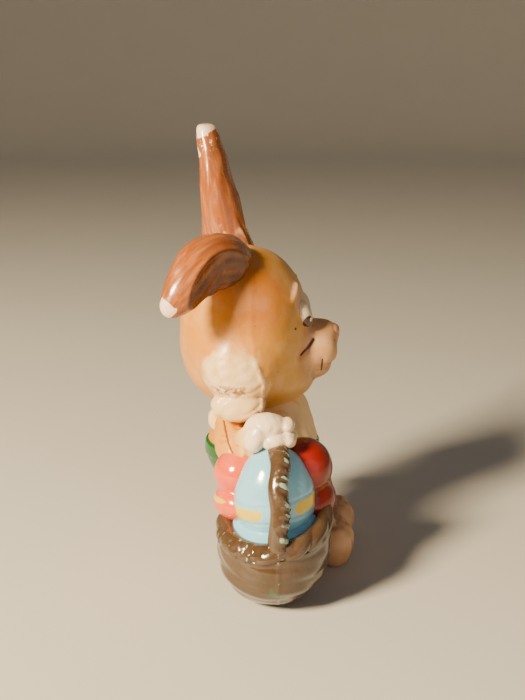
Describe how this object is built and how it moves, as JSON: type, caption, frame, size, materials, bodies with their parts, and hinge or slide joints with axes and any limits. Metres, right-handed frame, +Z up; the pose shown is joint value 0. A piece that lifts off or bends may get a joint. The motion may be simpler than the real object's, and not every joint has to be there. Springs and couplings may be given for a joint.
{
  "type": "souvenir figurine",
  "caption": "Standing rabbit souvenir figurine in painted soft plastic, one ear up and one flopped, holding the arched handle of a basket of decorated eggs at its side.",
  "frame": {"origin": "middle of the underside of the figurine's box, on the surface it stands on", "axes": "+Z up; the rabbit faces -Y; its right side, with the basket, is -X"},
  "size_m": [0.0434, 0.0346, 0.0776],
  "materials": {
    "cream_paint": "satin hand paint, worn on the high spots",
    "ochre_paint": "satin sprayed paint over cream plastic",
    "caramel_paint": "glossy brushed paint, worn to the plastic at the tips",
    "green_paint": "glossy hand paint",
    "brown_gloss_paint": "thick glossy hand paint, rubbed along the seam",
    "blue_paint": "glossy hand paint with small chips",
    "coral_paint": "glossy hand paint",
    "red_paint": "glossy hand paint",
    "white_paint": "glossy hand paint",
    "pink_paint": "glossy hand paint"
  },
  "bodies": {
    "root": {"basket_rim": "brown_gloss_paint", "basket_handle": "brown_gloss_paint", "hand_right": "cream_paint", "egg_blue": "blue_paint", "egg_coral": "coral_paint", "egg_red": "red_paint", "egg_bed": "blue_paint", "basket_front_shell": "brown_gloss_paint", "basket_rear_shell": "brown_gloss_paint", "foot_right": "cream_paint", "foot_left": "cream_paint", "nose": "pink_paint", "front_teeth": "white_paint", "muzzle": "cream_paint", "lower_lip": "cream_paint", "eye_right": "white_paint", "brow_right": "cream_paint", "cheek_tuft_right": "cream_paint", "eye_left": "white_paint", "brow_left": "cream_paint", "cheek_tuft_left": "cream_paint", "ear_left": "caramel_paint", "ear_right": "caramel_paint", "neck_post": "ochre_paint", "head_front_shell": "ochre_paint", "head_rear_shell": "ochre_paint", "collar": "cream_paint", "arm_right": "ochre_paint", "hand_left": "cream_paint", "arm_left": "ochre_paint", "tail": "cream_paint", "trousers_front_shell": "green_paint", "chest_front_shell": "cream_paint", "trousers_rear_shell": "green_paint", "chest_rear_shell": "ochre_paint"}
  },
  "joints": []
}
